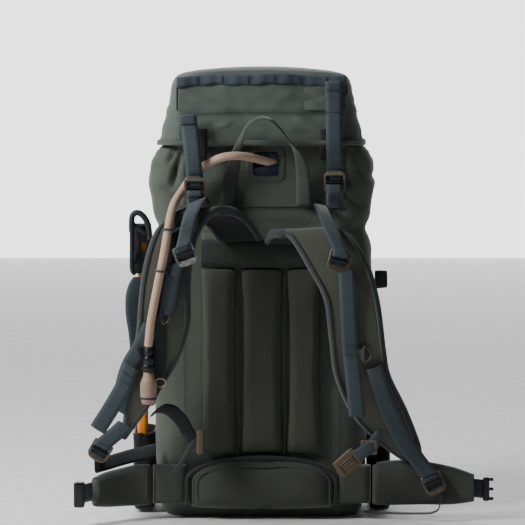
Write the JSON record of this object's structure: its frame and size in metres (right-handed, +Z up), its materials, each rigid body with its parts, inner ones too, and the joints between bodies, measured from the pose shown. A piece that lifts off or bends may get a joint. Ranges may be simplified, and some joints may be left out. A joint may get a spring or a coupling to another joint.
{
  "type": "hunting backpack",
  "caption": "Tall top-loading hunting rucksack with floating lid, padded harness and hip belt, drinking hose, side pockets and a sheathed hatchet.",
  "frame": {"origin": "centre of the bag's flat base, on the floor", "axes": "+Z up, +X to the right as seen from the harness side, +Y towards the bag's front"},
  "size_m": [0.626, 0.3643, 0.674],
  "materials": {
    "olive_fabric": "woven nylon",
    "webbing": "ribbed webbing",
    "pad_fabric": "padded fabric",
    "yoke_webbing": "wide ribbed webbing",
    "port_lining": "coated nylon",
    "buckle_metal": "worn satin coating",
    "tan_plastic": "moulded",
    "black_plastic": "moulded",
    "stiff_sheet": "smooth",
    "stay_aluminium": "bare",
    "bladder_film": "clear blue film",
    "hose_cover": "tan sleeved hose",
    "bite_rubber": "matt",
    "orange_plastic": "satin",
    "blade_steel": "ground",
    "elastic_fabric": "stretch fabric"
  },
  "bodies": {
    "pack": {"back_pads": "pad_fabric", "bag_back_panel": "olive_fabric", "bag_bottom_panel": "olive_fabric", "bag_front_panel": "olive_fabric", "bag_left_panel": "olive_fabric", "bag_right_panel": "olive_fabric", "bag_webbing": "webbing", "bite_valve": "bite_rubber", "cord_lock_body": "black_plastic", "frame_sheet": "stiff_sheet", "frame_stays": "stay_aluminium", "front_buckle_sockets": "black_plastic", "front_pocket": "olive_fabric", "harness_webbing": "webbing", "hatchet_sheath": "elastic_fabric", "haul_handle": "webbing", "hip_belt_sides": "pad_fabric", "hydration_hose": "hose_cover", "lid_back_flap": "olive_fabric", "lid_rear_straps": "webbing", "lumbar_pad": "pad_fabric", "mouth_drawcord": "webbing", "port_flap": "port_lining", "shoulder_strap_left": "olive_fabric", "shoulder_strap_right": "olive_fabric", "shutoff_valve": "black_plastic", "side_pocket_left": "elastic_fabric", "side_pocket_right": "elastic_fabric", "water_bladder": "bladder_film", "yoke_band": "yoke_webbing"},
    "lid": {"lid_pocket": "olive_fabric", "lid_skirt": "olive_fabric", "lid_daisy_webbing": "webbing", "lid_front_straps": "webbing", "front_buckle_plugs": "black_plastic", "lid_strap_tail_right": "webbing"},
    "lid_zip": {"lid_zipper_slider": "buckle_metal"},
    "lock_button": {"cord_lock_button": "black_plastic"},
    "lid_lock_left": {"lid_buckle_left": "buckle_metal"},
    "lid_lock_right": {"lid_buckle_right": "buckle_metal"},
    "lifter_lock_left": {"lifter_buckle_left": "buckle_metal"},
    "lifter_lock_right": {"lifter_buckle_right": "buckle_metal"},
    "lower_lock_left": {"lower_buckle_left": "buckle_metal"},
    "lower_lock_right": {"lower_buckle_right": "buckle_metal"},
    "ring_left": {"d_ring_left": "buckle_metal"},
    "ring_right": {"d_ring_right": "buckle_metal"},
    "sternum_left": {"sternum_strap_left": "webbing", "sternum_socket": "tan_plastic"},
    "sternum_right": {"sternum_slider": "buckle_metal", "sternum_plug": "tan_plastic"},
    "wing_left": {"hip_wing_left": "pad_fabric", "hip_buckle_socket": "black_plastic"},
    "wing_right": {"hip_wing_right": "pad_fabric", "hip_buckle_plug": "black_plastic"},
    "hatchet": {"hatchet_haft": "orange_plastic", "hatchet_head": "blade_steel"},
    "front_zip": {"front_zipper_slider": "buckle_metal"},
    "lever": {"valve_lever": "black_plastic"},
    "cover": {"bite_cover": "bite_rubber"}
  },
  "joints": [
    {"name": "lid_open", "type": "hinge", "parent": "pack", "child": "lid", "pos_m": [0, -0.104, 0.611], "axis": [1, 0, 0], "range_deg": [0, 90]},
    {"name": "lid_zipper_slide", "type": "slide", "parent": "lid", "child": "lid_zip", "axis": [1, 0, 0], "range_m": [0, 0.17]},
    {"name": "cord_lock_press", "type": "slide", "parent": "pack", "child": "lock_button", "axis": [1, 0, 0], "range_m": [0, 0.002], "stiffness_N_per_m": 900},
    {"name": "lid_buckle_left_tilt", "type": "hinge", "parent": "pack", "child": "lid_lock_left", "pos_m": [-0.0995, -0.142, 0.488], "axis": [-1, 0, 0], "range_deg": [-30, 0]},
    {"name": "lid_buckle_right_tilt", "type": "hinge", "parent": "pack", "child": "lid_lock_right", "pos_m": [0.109, -0.114, 0.496], "axis": [-1, 0, 0], "range_deg": [-30, 0]},
    {"name": "lifter_buckle_left_tilt", "type": "hinge", "parent": "pack", "child": "lifter_lock_left", "pos_m": [-0.117, -0.196, 0.414], "axis": [0.9326, 0, 0.361], "range_deg": [-30, 0]},
    {"name": "lifter_buckle_right_tilt", "type": "hinge", "parent": "pack", "child": "lifter_lock_right", "pos_m": [0.117, -0.188, 0.405], "axis": [0.9684, 0, -0.2496], "range_deg": [-30, 0]},
    {"name": "lower_buckle_left_tilt", "type": "hinge", "parent": "pack", "child": "lower_lock_left", "pos_m": [-0.236, -0.136, 0.116], "axis": [0.8645, 0, -0.5026], "range_deg": [-30, 0]},
    {"name": "lower_buckle_right_tilt", "type": "hinge", "parent": "pack", "child": "lower_lock_right", "pos_m": [0.252, -0.142, 0.068], "axis": [0.9062, 0, 0.4229], "range_deg": [-30, 0]},
    {"name": "d_ring_left_swing", "type": "hinge", "parent": "pack", "child": "ring_left", "pos_m": [-0.146, -0.1955, 0.312], "axis": [0, 0, 1], "range_deg": [-80, 0]},
    {"name": "d_ring_right_swing", "type": "hinge", "parent": "pack", "child": "ring_right", "pos_m": [0.15, -0.192, 0.255], "axis": [0, 0, 1], "range_deg": [-80, 0]},
    {"name": "sternum_left_slide", "type": "slide", "parent": "pack", "child": "sternum_left", "axis": [0.4208, 0.1002, 0.9016], "range_m": [-0.012, 0.012]},
    {"name": "sternum_right_slide", "type": "slide", "parent": "pack", "child": "sternum_right", "axis": [-0.4969, -0.1988, 0.8447], "range_m": [-0.012, 0.012]},
    {"name": "hip_wing_left_swing", "type": "hinge", "parent": "pack", "child": "wing_left", "pos_m": [-0.1728, -0.1184, 0.05], "axis": [0, 0, 1], "range_deg": [0, 40]},
    {"name": "hip_wing_right_swing", "type": "hinge", "parent": "pack", "child": "wing_right", "pos_m": [0.1728, -0.118, 0.05], "axis": [0, 0, 1], "range_deg": [0, 40]},
    {"name": "hatchet_lift", "type": "slide", "parent": "pack", "child": "hatchet", "axis": [0, 0, 1], "range_m": [0, 0.25]},
    {"name": "front_zipper_slide", "type": "slide", "parent": "pack", "child": "front_zip", "axis": [1, 0, 0], "range_m": [0, 0.15]},
    {"name": "valve_lever_turn", "type": "hinge", "parent": "pack", "child": "lever", "pos_m": [-0.1755, -0.1885, 0.2565], "axis": [1, 0, 0], "range_deg": [0, 90]},
    {"name": "bite_cover_pull", "type": "slide", "parent": "pack", "child": "cover", "axis": [0, 0, -1], "range_m": [0, 0.05]}
  ]
}
